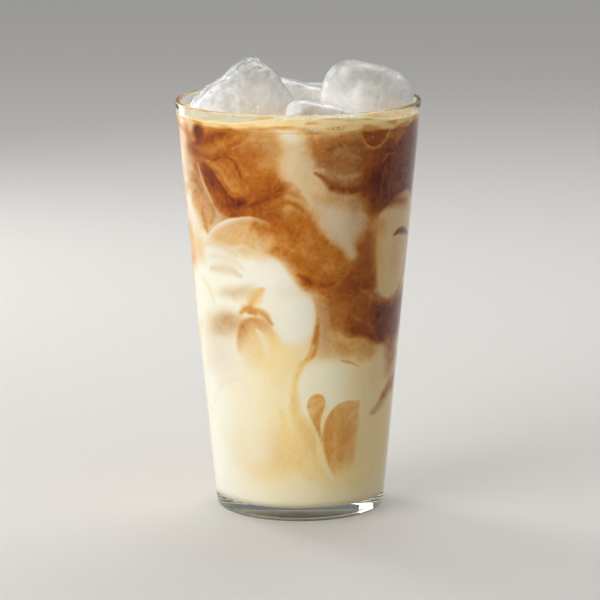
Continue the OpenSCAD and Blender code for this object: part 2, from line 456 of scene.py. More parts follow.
class Brew:
    # the drink's skin as it is painted: how much coffee is in the milk, and how clear and golden it is
    def __init__(self, az, z):
        self.az = az
        self.z = z
        self.points = onWall(az, innerR(z), z)
        self.coffee = np.zeros(az.shape)
        self.clear = np.zeros(az.shape)
        # currents: noise looked up where noise has carried the point to, twice over
        first = np.stack([noise(self.points, 26, 31 + k) for k in range(3)], -1)
        second = np.stack([noise(self.points + 12 * first, 13, 41 + k) for k in range(3)], -1)
        self.stirred = self.points + 12 * second
        fine = [noise(self.stirred, 7, 51 + k) for k in range(2)]
        self.drift = [0.8 * first[..., k] + 1.7 * second[..., k] + 0.5 * fine[k] for k in range(2)]

    def offset(self, az, z, ragged):
        # mm along the wall and up from a place, carried about by the currents
        along = ((self.az - az + 180) % 360 - 180) * innerR(self.z) * math.pi / 180
        return along + ragged * self.drift[0], self.z - z + ragged * self.drift[1]

    def lay(self, mask, coffee, clear):
        # moves what is there towards the new coffee and clearness by mask, 0 to 1
        self.coffee += (coffee - self.coffee) * mask
        self.clear += (clear - self.clear) * mask

    def pool(self, az, z, wide, tall, turn, coffee, clear, soft=0.5, much=1.0, ragged=1.0, square=2.2):
        # an oval of half sizes in mm: the mask falls from 1 to 0 as |u|^p + |v|^p passes 1
        along, up = self.offset(az, z, ragged)
        c, s = math.cos(math.radians(turn)), math.sin(math.radians(turn))
        u = (along * c + up * s) / wide
        v = (up * c - along * s) / tall
        far = (np.abs(u) ** square + np.abs(v) ** square) ** (1 / square)
        self.lay(much * ease(1 + soft, 1 - soft, far), coffee, clear)

    def alongPath(self, path, ragged):
        # distance to a curve through given places (azimuth, height), which side of it, how far along, and
        # the turns that the curve makes about each point, in radians
        knots = smoothPath(np.array(path, float), 9)
        middle = knots.mean(0)
        along, up = self.offset(middle[0], middle[1], ragged)
        knots = (knots - middle) * (innerR(middle[1]) * math.pi / 180, 1)
        nearest = np.full(along.shape, 1e9)
        side = np.ones(along.shape)
        share = np.zeros(along.shape)
        turns = np.zeros(along.shape)
        for k, (start, end) in enumerate(zip(knots[:-1], knots[1:])):
            step = end - start
            dx, dy = along - start[0], up - start[1]
            t = np.clip((dx * step[0] + dy * step[1]) / (step @ step), 0, 1)
            far = np.hypot(dx - t * step[0], dy - t * step[1])
            across = step[0] * dy - step[1] * dx
            closer = far < nearest
            nearest = np.where(closer, far, nearest)
            side = np.where(closer, np.sign(across), side)
            share = np.where(closer, (k + t) / (len(knots) - 1), share)
            ex, ey = dx - step[0], dy - step[1]
            turns += np.arctan2(dx * ey - dy * ex, dx * ex + dy * ey)
        return nearest, side, share, turns

    def ribbon(self, path, wide, coffee, clear, soft=0.6, much=1.0, ragged=0.7):
        # a thread along a curve, of half widths wide at its start and end, drawn out thin at both ends
        nearest, _, share, _ = self.alongPath(path, ragged)
        half = (wide[0] + (wide[1] - wide[0]) * share) * np.sin(np.pi * np.clip(share, 0.05, 0.95)) ** 0.5
        self.lay(much * ease(half * (1 + soft) + 0.25, half * (1 - soft), nearest), coffee, clear)

    def veil(self, path, reach, coffee, clear, much=1.0, edge=0.5, ragged=0.7):
        # a sheet folded at a curve: sharp on the curve's right, fading as exp(-(d/reach)^2) on its left
        nearest, side, share, _ = self.alongPath(path, ragged)
        signed = nearest * side
        ends = np.where((share > 0) & (share < 1), np.sin(np.pi * np.clip(share, 0, 1)) ** 0.6, 0)
        sheet = ease(-edge, edge, signed) * np.exp(-(np.maximum(signed, 0) / reach) ** 2)
        self.lay(much * ends * sheet, coffee, clear)

    def window(self, outline, coffee, clear, much=1.0, edge=0.35, ragged=0.3):
        # a closed outline, filled: a point is inside where the outline's turns about it add up to a circle
        nearest, _, _, turns = self.alongPath(outline + outline[:1], ragged)
        inside = np.where(np.abs(turns) > np.pi, nearest, -nearest)
        self.lay(much * ease(-edge, edge, inside), coffee, clear)


def smoothPath(knots, steps):
    # Catmull-Rom through the knots: each stretch is a cubic whose end slopes are half the span of its
    # neighbours
    padded = np.concatenate([[2 * knots[0] - knots[1]], knots, [2 * knots[-1] - knots[-2]]])
    a, b, c, d = padded[:-3, None], padded[1:-2, None], padded[2:-1, None], padded[3:, None]
    t = np.linspace(0, 1, steps, endpoint=False)[None, :, None]
    square = (2 * a - 5 * b + 4 * c - d) * t ** 2
    cube = (3 * b - a - 3 * c + d) * t ** 3
    curve = 0.5 * (2 * b + (c - a) * t + square + cube)
    return np.concatenate([curve.reshape(-1, 2), knots[-1:]])


def pourFront(b):
    # what shows from the front, laid one over the other
    pourGrounds(b)
    pourFarLeft(b)
    pourAmber(b)
    pourCream(b)
    pourTopRight(b)
    pourMiddle(b)
    pourMushroom(b)
    pourLow(b)


# In what follows b is the brew that is painted, places are azimuth in degrees and height in mm, and sizes
# are mm. After a stroke's place, size and turn come its coffee and its clearness, both from 0 to 1
def pourGrounds(b):
    # broad grounds: amber left, browns right partly painted shade, cream between, yellow milk low down
    b.pool(-36, 130, 21, 17, 0, 0.68, 1.0, 0.25)
    b.pool(-69, 131, 8, 20, 0, 0.36, 0.25, 0.6)
    b.pool(-82, 126, 7, 26, 0, 0.10, 0.0, 0.6)
    b.pool(24, 134, 14, 13, 0, 0.64, 0.25, 0.4)
    # painted shade in part: the browns far right are drawn darker than their coffee, where the light falls
    # off
    b.pool(60, 130, 20, 18, 0, 0.90, 0.6, 0.4)
    b.pool(38, 104, 7.5, 30, 0, 0.72, 0.8, 0.45)
    b.pool(7, 100, 16, 17, 0, 0.64, 1.0, 0.3)
    b.pool(7, 36, 23, 36, 0, 0.13, 1.0, 0.85)
    b.pool(-19, 112, 10, 6, 0, 0.70, 1.0, 0.5)


def pourFarLeft(b):
    # far left: a streak of gold under the surface, pinkish tan, and a round bulge of caramel
    b.ribbon([(-78, 141.5), (-70, 141), (-62, 139.5), (-54, 139)], (1.6, 2.4), 0.62, 1.0, 0.9)
    b.pool(-66, 134, 5, 3.2, -20, 0.50, 0.5, 0.8)
    b.pool(-63, 125, 8, 5, -15, 0.46, 0.3, 0.7)
    b.ribbon([(-74, 127), (-66, 128.4), (-60, 127)], (0.9, 0.9), 0.32, 0.3, 0.9, 0.8)
    b.ribbon([(-72, 123), (-65, 124.5), (-58, 123)], (0.8, 0.9), 0.56, 0.5, 0.9, 0.8)
    b.pool(-60, 113, 7.2, 7.4, 0, 0.38, 0.85, 0.22, 1, 0.5)
    b.ribbon([(-69, 118), (-64, 120.6), (-58, 120.8), (-53, 118)], (0.6, 0.6), 0.52, 0.6, 0.9, 0.8)
    b.ribbon([(-57.5, 114), (-57, 109), (-54, 104.5)], (1.0, 1.6), 0.56, 0.4, 0.9, 0.9)
    b.pool(-64, 108, 4, 3, -30, 0.22, 0.4, 0.8, 0.8)


def pourAmber(b):
    # amber: threads of gold and brown that climb to the right under the surface
    b.pool(-17, 139, 8, 7, -10, 0.52, 0.6, 0.7)
    b.ribbon([(-60, 137), (-51, 138.5), (-43, 141), (-34, 144.5)], (1.4, 1.2), 0.80, 1.0, 0.9, 0.9)
    b.ribbon([(-54, 134.6), (-44, 136.8), (-34, 140.5), (-24, 143)], (1.3, 1.2), 0.56, 1.0, 0.9, 0.9)
    b.ribbon([(-46, 134.2), (-38, 135.6), (-30, 138.6), (-20, 139.6)], (0.9, 0.8), 0.72, 1.0, 0.9, 0.7)
    b.ribbon([(-50, 142.6), (-40, 144), (-28, 143.4)], (0.8, 0.8), 0.58, 1.0, 0.9, 0.8)
    b.ribbon([(-33, 137), (-25, 139.5), (-14, 141.5)], (0.7, 0.9), 0.42, 0.7, 0.9, 0.6)
    b.pool(-55, 142, 3.2, 2.9, 25, 0.96, 0.6, 0.6, 1, 0.5)
    b.pool(-61, 134.5, 4.5, 2.2, -20, 0.80, 0.8, 0.7, 1, 0.5)
    b.pool(-24, 128, 7, 7, 20, 0.66, 1.0, 0.7)
    # the dark fold that crosses it, sharp above, and the gold that lies against it
    b.veil([(-24, 116.6), (-32, 118.4), (-38, 120.2), (-42, 124), (-46, 127.6), (-51, 129.8),
            (-57, 130.8), (-63, 132.6)], 8, 0.82, 1.0, 1.0, 0.7, 0.4)
    b.veil([(-26, 116.8), (-32, 118.4), (-38, 120.2), (-42, 124), (-46, 127.6), (-51, 129.8),
            (-57, 130.8)], 2.4, 0.96, 1.0, 0.7, 0.45, 0.4)
    b.pool(-51, 125, 3.2, 4.6, 30, 0.90, 0.9, 0.8, 0.8, 0.6)
    b.pool(-36, 114.8, 7, 2.5, 0, 0.70, 1.0, 0.7, 0.9, 0.5)
    b.ribbon([(-50, 131.8), (-44, 130.2), (-39, 126.4), (-35, 122.6), (-30, 121.4)], (1.6, 1.2), 0.58,
              1.0, 0.7, 0.9, 0.4)
    b.ribbon([(-41, 131.6), (-37, 129.6), (-34, 126), (-31, 123)], (0.9, 0.9), 0.60, 1.0, 0.9, 0.8, 0.4)
    b.ribbon([(-45, 129), (-41, 125.6), (-38, 122)], (0.4, 0.5), 0.72, 1.0, 0.9, 0.8, 0.4)
    b.veil([(-28, 124.6), (-30.5, 127), (-32, 130.6), (-35, 133.4), (-40, 133.4), (-46, 131.8),
            (-53, 133), (-61, 134.4)][::-1], 1.7, 0.90, 1.0, 0.8, 0.35, 0.4)
    b.ribbon([(-36, 134.8), (-30, 133.5), (-27, 129), (-23, 125)], (0.8, 0.9), 0.60, 1.0, 0.9, 0.7, 0.5)
    # deep amber that sweeps from there to the right and ends against the cream
    b.veil([(5, 113), (4, 119), (1, 123.6), (-4, 126.3), (-10, 125.8), (-17, 123.2), (-25, 120),
            (-31, 119)], 8, 0.70, 1.0, 1.0, 0.8, 0.5)
    b.ribbon([(-31, 117), (-23, 117.6), (-14, 121), (-7, 123.4), (-1, 121.5)], (0.8, 1.3), 0.80, 1.0, 0.9,
              0.7, 0.5)
    b.ribbon([(-24, 114.6), (-14, 116.6), (-5, 119), (2, 116)], (0.9, 1.2), 0.70, 1.0, 0.9, 0.7, 0.5)
    b.pool(-33, 117.6, 3.4, 1.4, 10, 0.98, 1.0, 0.8, 0.8, 0.4)
    # pinkish cream under the dark fold, with a pale rim against it
    b.veil([(-32, 112.4), (-41, 113), (-46, 115.2), (-50.5, 119), (-54, 123.6), (-57.5, 129)], 6, 0.44,
            0.2, 1.0, 0.7, 0.4)
    b.ribbon([(-58.5, 130), (-57, 126.5), (-54, 121.5), (-50, 117)], (0.5, 0.6), 0.26, 0.2, 0.9, 0.8, 0.4)
    b.ribbon([(-50, 116), (-48, 112), (-51, 108)], (0.8, 0.7), 0.56, 0.2, 0.9, 0.8)
    b.ribbon([(-46, 114), (-44, 112), (-46, 110)], (0.8, 0.8), 0.32, 0.0, 0.9, 0.8)


def pourCream(b):
    # the cream column from the surface, and where it runs down to the right
    b.ribbon([(-3, 149), (-1, 139), (2, 131), (9, 123), (16, 115), (23, 107), (28, 99)], (5.8, 4.2), 0.24,
              0.15, 0.9, 0.95)
    b.pool(-4, 144, 4.4, 4, 10, 0.04, 0.4, 0.7)
    b.pool(-3, 132, 3.2, 8, -6, 0.20, 0.3, 0.8, 0.8)
    b.pool(5, 134, 2.6, 6, -10, 0.20, 0.1, 0.8, 0.8)
    b.pool(8, 123.5, 4.4, 3.0, -40, 0.24, 0.5, 0.8)
    b.pool(22, 111, 6, 5, -40, 0.18, 0.0, 0.8)
    b.pool(31, 112, 4.5, 6.5, 0, 0.26, 0.0, 0.7, 0.9)


def pourTopRight(b):
    # top right: milky browns with one thin dark strand, then gold browns and a dark pocket
    b.pool(9, 139.5, 3.6, 2.8, 0, 0.62, 1.0, 0.8)
    b.pool(20, 140, 10, 4, 6, 0.60, 0.5, 0.8, 0.8)
    b.pool(25, 127, 8, 4, -8, 0.50, 0.2, 0.7, 0.9)
    b.ribbon([(8, 130.5), (16, 129), (26, 127), (34, 127.5)], (0.8, 1.0), 0.38, 0.1, 0.9, 0.7)
    b.ribbon([(8, 128.6), (13, 126.6), (18, 124.2), (25, 122), (34, 122.4)], (1.1, 1.3), 0.76, 0.3, 0.9,
              0.9, 0.5)
    b.pool(17, 120, 6, 2.4, -12, 0.34, 0.4, 0.8)
    b.pool(28, 118, 5, 2.2, -6, 0.44, 0.2, 0.8, 0.8)
    b.ribbon([(14, 134), (22, 136), (31, 134)], (0.8, 0.9), 0.54, 0.3, 0.9, 0.7)
    b.ribbon([(12, 137), (22, 139), (32, 138.5)], (0.7, 0.9), 0.74, 0.3, 0.9, 0.6)
    b.pool(39, 126, 4.4, 9, 0, 0.80, 1.0, 0.7)
    b.pool(46, 122, 4.6, 6.4, 8, 1.0, 0.9, 0.7)
    b.ribbon([(47, 118), (46, 124), (48, 130)], (0.4, 0.5), 0.78, 0.8, 0.9, 0.7, 0.3)
    b.ribbon([(52.5, 117), (52, 124), (54, 131)], (0.5, 0.5), 0.80, 0.8, 0.9, 0.7, 0.3)
    b.pool(50, 131.6, 2.6, 1.7, 10, 0.92, 0.8, 0.5, 1, 0.3)
    b.ribbon([(46, 131.2), (48, 133.4), (52, 134), (57, 132.6)], (0.3, 0.35), 0.60, 0.9, 0.9, 0.9, 0.3)
    b.ribbon([(44, 136), (50, 136.6), (57, 135)], (0.5, 0.5), 0.76, 0.8, 0.9, 0.7, 0.4)
    b.pool(53, 141, 7, 2.6, 14, 0.62, 1.0, 0.8)
    b.pool(24, 144, 14, 1.6, 2, 0.36, 0.9, 0.9)


def pourMiddle(b):
    # middle right: gold brown beside the sunk cube, dark below it, partly painted shade, and tan towards the
    # cream
    b.pool(51, 72, 12, 7.5, -8, 0.97, 1.0, 0.6)
    # painted shade in part: drawn darker than its coffee, at the right where the light falls off
    b.pool(68, 72, 14, 8, -8, 0.94, 0.5, 0.8, 1, 2)
    b.pool(35, 75, 9, 8, -8, 0.84, 1.0, 0.6)
    b.pool(29, 83, 9, 9, 0, 0.76, 0.9, 0.6)
    b.ribbon([(35, 86), (41, 83.4), (49, 81), (60, 79.2)], (0.6, 0.8), 0.62, 0.7, 0.9, 0.7, 0.4)
    b.ribbon([(24, 78), (34, 76), (44, 72), (52, 66)], (0.8, 1.0), 0.66, 1.0, 0.9, 0.7)
    b.pool(19, 77, 6, 7, -10, 0.64, 0.8, 0.7)
    b.pool(16, 66, 6.5, 5, 0, 0.30, 0.5, 0.7)
    b.pool(31, 65, 8.5, 3.2, -12, 0.42, 0.9, 0.8)
    b.pool(45, 61, 5, 3.2, -14, 0.52, 0.8, 0.8)
    # the milk that folds under the amber heart
    b.veil([(9, 77), (6.5, 82), (2, 87), (-4, 92), (-10, 97), (-16, 100), (-24, 101)], 10, 0.02, 0.1,
            0.97, 1.4)
    b.pool(-18, 91, 9, 7, 15, 0.02, 0.2, 0.6)
    b.ribbon([(-14, 112), (-4, 109), (6, 110), (15, 105)], (1.6, 1.8), 0.74, 1.0, 1.0, 0.6)
    b.ribbon([(-8, 104), (4, 100), (13, 95)], (1.6, 2.2), 0.54, 1.0, 1.0, 0.6)
    b.ribbon([(0, 92.5), (8, 89.6), (19, 89)], (1.4, 1.8), 0.84, 1.0, 1.0, 0.8)
    # left middle: a caramel bulge under a white rim, white wisps and tan smears below it
    b.pool(-36, 104.5, 12, 6, 4, 0.34, 0.6, 0.5)
    b.veil([(-14, 111.4), (-22, 113), (-30, 113), (-38, 112), (-45, 109.4), (-50, 106.8), (-56, 103.6),
            (-62, 102.6)], 2.0, 0.03, 0.0, 0.95, 0.4, 0.4)
    b.veil([(-84, 119), (-75, 112), (-67, 107), (-61, 103)], 4.2, 0.04, 0.0, 0.95, 1.4)
    b.veil([(-61, 103), (-67, 107), (-75, 112), (-84, 119)], 2.4, 0.08, 0.1, 0.8, 1.4)
    b.pool(-79, 99, 5.5, 7.5, 0, 0.50, 1.0, 0.5)
    b.pool(-67, 98.5, 4.5, 4.5, 0, 0.28, 0.5, 0.8)
    b.veil([(-20, 101), (-30, 103), (-42, 100.5), (-56, 98.5)], 2.6, 0.12, 0.0, 0.8, 0.9)
    b.pool(-48, 96, 9, 4, 4, 0.05, 0.0, 0.8)
    b.ribbon([(-60, 99.5), (-48, 101), (-36, 98)], (1.0, 1.3), 0.18, 0.2, 1.0, 0.7)
    b.ribbon([(-56, 91.6), (-44, 92.4), (-32, 91.2)], (1.4, 1.6), 0.18, 0.1, 1.0, 0.8)
    b.ribbon([(-54, 96), (-44, 96.6), (-30, 94)], (1.0, 1.2), 0.12, 0.0, 1.0, 0.7)
    b.veil([(-53, 77), (-56, 82.4), (-61, 86.4), (-70, 88.8)], 1.6, 0.15, 1.0, 0.8, 0.5)
    b.pool(-36, 84.4, 8, 2.4, 4, 0.24, 0.0, 0.9, 0.9)


def pourMushroom(b):
    # a caramel mushroom whose cap curls over
    b.pool(-50, 71, 9, 4.6, 16, 0.30, 0.0, 0.9, 0.95)
    b.pool(-44, 73.4, 6, 3, 14, 0.42, 0.1, 0.9, 0.9)
    b.veil([(-12, 60), (-12.5, 68), (-17, 74), (-24, 76.3), (-31, 75.4), (-36.5, 72), (-39.5, 66),
            (-39, 61)], 11, 0.40, 0.45, 0.95, 1.2, 0.4)
    b.veil([(-20, 75.6), (-26, 76.4), (-32, 75.2), (-37, 71.6), (-39.5, 66), (-39, 62)], 2.8, 0.54, 0.6,
            0.85, 0.9, 0.4)
    b.pool(-22, 64, 6.5, 6, -20, 0.22, 0.7, 0.9, 0.9)
    b.ribbon([(-25, 71), (-20.5, 67.5), (-17.5, 60)], (1.0, 1.6), 0.10, 0.4, 0.9, 0.9, 0.4)
    b.ribbon([(-13.5, 71), (-11.5, 66), (-11, 60)], (1.2, 1.0), 0.26, 0.9, 0.9, 0.9)
    b.ribbon([(-28, 79), (-24, 83), (-19, 86.5)], (1.8, 1.6), 0.34, 1.0, 0.9, 0.9)
    b.ribbon([(-34.5, 77.6), (-31, 79), (-27, 78.4), (-25, 77)], (1.3, 1.1), 0.50, 1.0, 1.0, 0.9, 0.3)
    b.ribbon([(-29, 78), (-24.5, 78.4), (-20, 77.2), (-15.5, 74)], (1.0, 1.2), 0.50, 0.7, 1.0, 0.9, 0.3)
    b.pool(-8, 60, 7, 9, 0, 0.16, 1.0, 0.9)
    b.pool(-56, 60, 9, 8, 0, 0.10, 0.0, 0.9)
    # white lobe, and the thin amber line that runs down beside it
    b.pool(-3, 76, 6.6, 9, 0, 0.03, 0.2, 0.3, 1, 0.6)
    b.pool(13, 73, 3.0, 8, 0, 0.34, 0.3, 0.7, 0.9)
    b.ribbon([(10.2, 78), (9.8, 73), (8.6, 67.5), (7.2, 63), (4, 60.5)], (0.5, 1.3), 0.56, 1.0, 0.9, 1,
              0.4)
    b.ribbon([(9.6, 86), (10.2, 80), (9.8, 74)], (0.8, 0.5), 0.36, 0.5, 1.0, 0.8, 0.4)
    b.ribbon([(8, 66), (5, 61.4), (0, 57.6), (-3.4, 51), (-3, 43), (2, 37), (8, 31)], (1.2, 1.0), 0.36,
              1.0, 1.0, 0.95, 0.4)
    # bright cream with a rounded top under the browns, and a hair of brown on it
    b.pool(19, 49, 15, 10.5, -4, 0.02, 1.0, 0.22, 0.95, 0.5, 2.6)
    b.ribbon([(25, 60.2), (31, 59.2), (38, 57)], (0.45, 0.45), 0.56, 0.9, 0.9, 0.8, 0.3)
    b.ribbon([(3, 60), (-1, 56), (-2.6, 50), (-2, 43), (2, 36), (8, 29), (15, 22)], (1.0, 1.6), 0.25, 1.0,
              1.0, 0.85, 0.4)


def pourLow(b):
    # low: yellow currents, what shows behind the sunk cube, and the teardrop beside it
    b.pool(-18, 25, 10, 8, 10, 0.24, 0.6, 0.9)
    b.pool(-33, 28, 8, 8, 0, 0.09, 0.5, 0.9)
    b.ribbon([(-5, 48), (-2, 41), (4, 35), (9, 29), (13, 23), (19, 17), (27, 12)], (2.2, 3.8), 0.24, 1.0,
              1.0, 0.9, 0.8)
    b.ribbon([(-12, 42), (-8, 33), (-2, 25), (8, 16)], (1.6, 3.0), 0.22, 1.0, 1.0, 0.8)
    b.window([(41.5, 44), (30, 44.2), (23, 43.4), (18.5, 41), (15.2, 37), (13.4, 32), (14.2, 27.5),
              (17.5, 22), (23, 17), (31, 14.5), (41.5, 15)], 0.40, 1.0)
    b.pool(34, 14, 9, 6, 0, 0.12, 1.0, 0.9, 0.9)
    b.ribbon([(43.6, 49), (43.2, 40), (43, 26), (42.6, 8)], (1.5, 1.9), 0.12, 1.0, 0.95, 0.95, 0.3)
    b.ribbon([(17, 43.6), (13.8, 38), (12.2, 32), (13, 27), (17, 20.6), (22, 16)], (0.7, 1.3), 0.12, 1.0,
              0.7, 0.9, 0.3)
    b.window([(16, 45.4), (14.4, 47.4), (10.5, 48.2), (6.4, 47), (4.6, 44.4), (6, 41), (9, 37),
              (11.4, 33.4), (13.6, 30), (13.0, 34), (13.2, 38.6), (15.0, 42.4)], 0.40, 1.0)
    # a sunk cube's faint outline at the left, and the dim lobe and the streak at the right
    b.ribbon([(-72, 38), (-58, 46), (-44, 52), (-35, 51.5), (-31, 46), (-30, 34)], (0.8, 0.9), 0.09, 0.2,
              1.0, 0.5)
    b.pool(39, 52, 7, 9, -6, 0.16, 1.0, 0.9, 0.8)
    b.pool(56, 54, 6.5, 8.5, -10, 0.16, 0.7, 0.4)
    b.pool(70, 57, 5, 9, 20, 0.70, 0.4, 0.7)
    b.pool(66, 28, 13, 24, 0, 0.20, 0.9, 0.9, 0.9)
    b.ribbon([(53, 38), (60, 42), (69, 45), (82, 48), (96, 49), (112, 55)], (0.8, 3.0), 0.72, 0.6, 1.0,
              0.8, 0.9)
    b.ribbon([(50, 38.6), (57, 40), (66, 41.6)], (1.6, 2.0), 0.32, 0.2, 0.9, 0.9)


# sheets of the sides and the back, laid in this order: size and reach of the folds in mm, coffee,
# clearness, how much, and the heights between which the sheet lies
sheets = (
    dict(seed=101, size=44, reach=18, coffee=0.62, clear=1.0, much=0.9, low=66, high=170),
    dict(seed=102, size=34, reach=14, coffee=0.48, clear=0.2, much=0.8, low=60, high=150),
    dict(seed=103, size=38, reach=13, coffee=0.80, clear=0.9, much=0.9, low=88, high=170),
    dict(seed=104, size=38, reach=13, coffee=0.05, clear=0.1, much=0.9, low=30, high=124),
    dict(seed=105, size=30, reach=7, coffee=0.34, clear=0.6, much=0.8, low=56, high=118),
    dict(seed=106, size=28, reach=5, coffee=0.92, clear=0.9, much=0.75, low=98, high=170),
    dict(seed=107, size=32, reach=12, coffee=0.17, clear=1.0, much=0.8, low=8, high=66),
    dict(seed=110, size=26, reach=9, coffee=0.13, clear=0.9, much=0.8, low=8, high=60),
    dict(seed=108, size=26, reach=2.8, coffee=0.14, clear=0.3, much=0.6, low=70, high=150),
    dict(seed=109, size=24, reach=3.0, coffee=0.66, clear=1.0, much=0.5, low=64, high=150),
)


def pourRest(b, behind):
    # the sides and the back in the same manner: each sheet is folded where noise passes zero, sharp on one
    # side and fading as exp(-(d/reach)^2) on the other
    wave = 9 * noise(b.points, 36, 61) + 4 * noise(b.points, 15, 62)
    b.lay(behind, 0.03 + 0.52 * ease(56, 118, b.z + wave), 0.4)
    edge = 0.7 + 3.2 * ease(-0.35, 0.35, noise(b.points, 22, 64))
    for s in sheets:
        far = 0.8 * s["size"] * noise(0.5 * (b.stirred + b.points), s["size"], s["seed"]) - 1.5
        inHeight = ease(s["low"] - 10, s["low"] + 10, b.z + wave)
        inHeight = inHeight * ease(s["high"] + 10, s["high"] - 10, b.z + wave)
        mask = ease(-edge, edge, far) * np.exp(-(np.maximum(far, 0) / s["reach"]) ** 2)
        b.lay(s["much"] * mask * inHeight * behind, s["coffee"], s["clear"])
    # the front's dark browns trail away to the back
    b.ribbon([(54, 131), (74, 136), (92, 130), (108, 134), (122, 126)], (9, 5), 0.88, 0.8, 1.0, 0.9, 1.3)
    b.ribbon([(58, 72), (74, 73), (88, 78), (104, 72), (118, 63)], (6, 3), 0.84, 0.7, 1.0, 0.9, 1.3)
    b.ribbon([(66, 78), (84, 90), (98, 104), (112, 112)], (2, 4), 0.60, 0.9, 1.0, 0.8, 1.3)
    # and so do its gold and its caramel at the left
    b.ribbon([(-78, 141), (-90, 135), (-101, 139), (-114, 132)], (4, 6), 0.70, 1.0, 1.0, 0.9, 1.3)
    b.ribbon([(-72, 121), (-86, 118), (-98, 124), (-112, 118)], (3, 5), 0.46, 0.6, 1.0, 0.8, 1.3)
    b.ribbon([(-76, 99), (-88, 96), (-99, 103), (-112, 98)], (4, 4), 0.44, 1.0, 1.0, 0.85, 1.3)
    b.ribbon([(-74, 70), (-90, 62), (-104, 58), (-118, 50)], (3, 5), 0.16, 1.0, 1.0, 0.8, 1.3)
    # two more sunk cubes, milky amber against the darker drink, rounded and lost on one side
    b.window([(138, 104), (140, 98), (150, 96.5), (164, 98), (166, 110), (163, 122), (150, 124),
              (139, 120)], 0.26, 0.5, 0.9, 1.1, 0.8)
    b.veil([(170, 117), (160, 121), (150, 122.5), (136, 119)], 6, 0.62, 0.9, 0.9, 2.5, 0.6)
    b.window([(219, 92), (223, 96), (233, 97), (243, 95), (246, 86), (242, 75), (231, 71), (221, 75)],
              0.30, 0.8, 0.85, 1.3, 1.0)
    b.veil([(214, 78), (222, 73), (236, 71), (250, 76)], 7, 0.10, 0.3, 0.9, 3.0, 0.8)
    b.veil([(247, 99), (236, 97), (224, 97), (214, 93)], 5, 0.66, 0.9, 0.8, 2.0, 0.8)


def pour(az, z):
    # coffee and clearness for every point of the drink's skin, from the grounds to what lies at the glass
    b = Brew(az, z)
    b.clear += 0.35
    b.coffee += 0.01
    pourFront(b)
    # the front gives way to the rest round both sides, along an uneven line
    away = np.abs((az + 180) % 360 - 180) + 9 * noise(b.points, 24, 63) + 5 * noise(b.stirred, 10, 65)
    pourRest(b, ease(80, 93, away))
    # folds of the half-mixed parts: noise in the stirred field, strongest where neither rules
    folds = noise(b.stirred, 15, 75) + 0.6 * noise(b.stirred, 6, 76) + 0.35 * noise(b.stirred, 2.6, 77)
    mixed = b.coffee * np.clip(1.05 - b.coffee, 0, 1) * ease(0.08, 0.5, b.coffee)
    b.coffee += folds * (0.008 + 0.36 * mixed)
    pourCube(b)
    pourChip(b)
    pourBand(b)
    return b


def pourCube(b):
    # the cube at the right, rounded below, lost in the drink above, with a dark slit
    b.window([(44, 112), (45, 102), (46.4, 95), (48.6, 87), (53, 82), (60, 80.6), (68, 82.6), (76, 87),
              (81, 95), (82, 106), (76, 118), (58, 118)], 0.24, 0.6, 1.0, 0.9)
    b.veil([(83, 84), (80, 92), (80, 102), (82, 112)][::-1], 5, 0.50, 0.5, 0.8, 2.5, 0.8)
    b.veil([(40, 111), (46, 114.5), (54, 115), (64, 113), (78, 112)], 7, 0.86, 0.6, 0.95, 3.0, 0.8)
    b.pool(44, 108.5, 5, 2.8, -30, 0.48, 0.9, 0.9, 0.9)
    b.pool(47, 99, 2.5, 9, 10, 0.36, 0.9, 0.9, 0.7)
    b.ribbon([(60, 103.4), (65, 104.4), (72, 103.8), (80, 102)], (0.9, 1.2), 1.0, 0.6, 0.6, 0.95, 0.2)
    b.pool(64, 94, 4, 6, 0, 0.32, 0.6, 0.9, 0.7)


def pourChip(b):
    # the chip under the surface, with a thin gold rim
    b.window([(30.5, 146), (31.4, 141.6), (34.5, 138), (39.5, 136.6), (44.4, 138), (47.6, 141.6),
              (48.5, 146)], 0.80, 0.9, 1, 0.3)
    b.ribbon([(30.6, 143.6), (32, 140.4), (35, 137.8), (39.5, 136.7), (44, 137.8), (47, 140.4),
              (48.6, 143.6)], (0.4, 0.4), 0.50, 1.0, 0.8, 0.9, 0.2)
    specks = ease(0.25, 0.6, noise(b.points, 1.1, 78)) * ease(7.5, 5.5, np.hypot(*b.offset(39.5, 143, 0)))
    b.lay(0.6 * specks, 0.52, 0.9)


def pourBand(b):
    # golden band just under the surface, lower in front, and cream with streaks over it
    inFront = ease(-46, -32, b.az) * ease(76, 62, b.az)
    uneven = 0.5 * noise(b.points, 9, 81) + 0.3 * noise(b.points, 4, 82)
    band = ease(143.9, 145.1, b.z + 1.5 * inFront + uneven)
    b.lay(band, 0.24 + 0.24 * ease(-0.2, 0.5, noise(b.points * (1, 1, 3), 7, 83)), 1.0)
    wavy = b.z + 0.5 * noise(b.points, 8, 84)
    streaks = ease(0.05, 0.5, noise(b.points * (1, 1, 5), 8, 85))
    b.lay(0.9 * ease(145.6, 146.1, wavy), 0.15 + 0.22 * streaks, 0.8)


def milkyRamp(tree, source):
    # milk into coffee, well stirred: pinkish beige, then brown
    stops = {0.0: "#F7F5EC", 0.2: "#E2CBAA", 0.4: "#CFA679", 0.6: "#B27C48", 0.8: "#8E4A14", 1.0: "#541600"}
    return ramp(tree, stops, source)


def goldenRamp(tree, source):
    # coffee that light comes through: cream, gold, amber, then dark
    stops = {0.0: "#FBF5E0", 0.2: "#F8DC9C", 0.4: "#E4AC5E", 0.6: "#C67A1E", 0.8: "#A04A00", 1.0: "#641A00"}
    return ramp(tree, stops, source)


